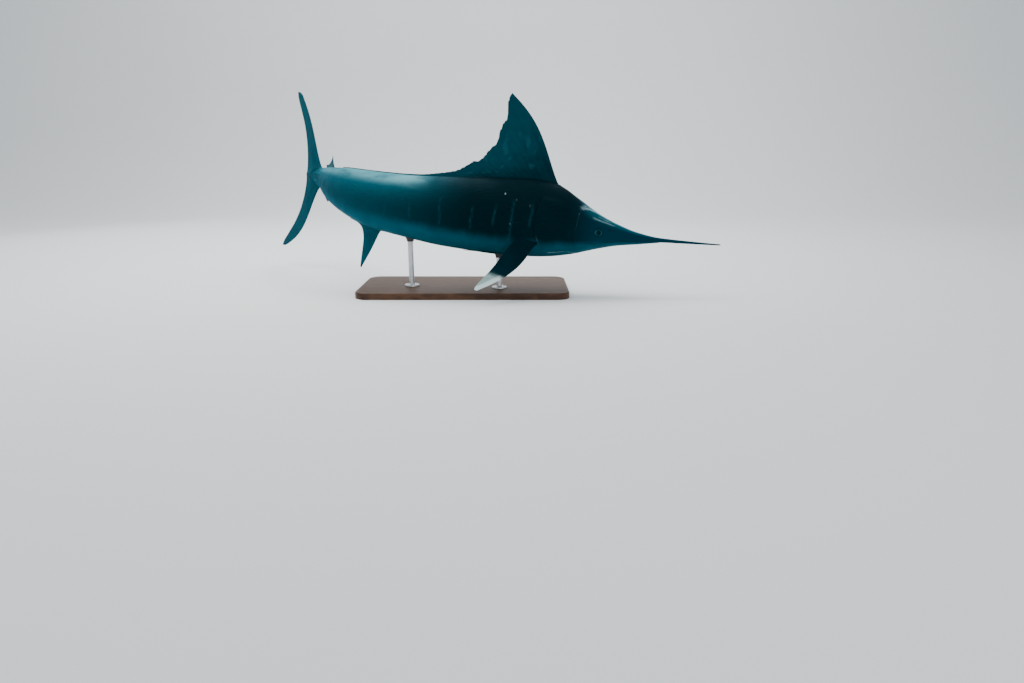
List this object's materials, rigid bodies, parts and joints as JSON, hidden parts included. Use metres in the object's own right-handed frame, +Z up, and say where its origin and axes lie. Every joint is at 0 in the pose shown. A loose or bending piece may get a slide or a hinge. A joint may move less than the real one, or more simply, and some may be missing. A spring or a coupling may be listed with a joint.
{
  "type": "striped marlin",
  "caption": "Life-size striped marlin model, swimming with its first dorsal fin raised and its tail turned away, held over a flat base by upright rods.",
  "frame": {"origin": "middle of the underside of the stand's base", "axes": "+Z up, +X toward the head and bill, +Y toward the fish's left side, to which its tail is turned"},
  "size_m": [2.3435, 1.1603, 0.9767],
  "materials": {
    "skin": "painted dark blue back over a silver belly, satin varnish",
    "jaw": "painted grey and silver, satin varnish",
    "fin": "painted blue black, satin varnish",
    "eye": "polished, with a dark pupil in a pale ring",
    "stand_wood": "dark stained, satin",
    "stand_steel": "brushed"
  },
  "bodies": {
    "root": {"bill": "skin", "head": "skin", "gill_cover_right": "skin", "gill_cover_left": "skin", "torso_front": "skin", "torso_middle": "skin", "tail_stalk": "skin", "lower_jaw": "jaw", "dorsal_fin_front": "fin", "dorsal_fin_slope": "fin", "dorsal_fin_low": "fin", "dorsal_fin_rear": "fin", "second_dorsal_fin": "fin", "first_anal_fin": "fin", "second_anal_fin": "fin", "pectoral_fin_right": "fin", "pectoral_fin_left": "fin", "pelvic_fin_right": "fin", "pelvic_fin_left": "fin", "tail_fin_upper": "fin", "tail_fin_lower": "fin", "eye_right": "eye", "eye_left": "eye", "stand_base": "stand_wood", "stand_rod_front": "stand_steel", "stand_rod_rear": "stand_steel"}
  },
  "joints": []
}
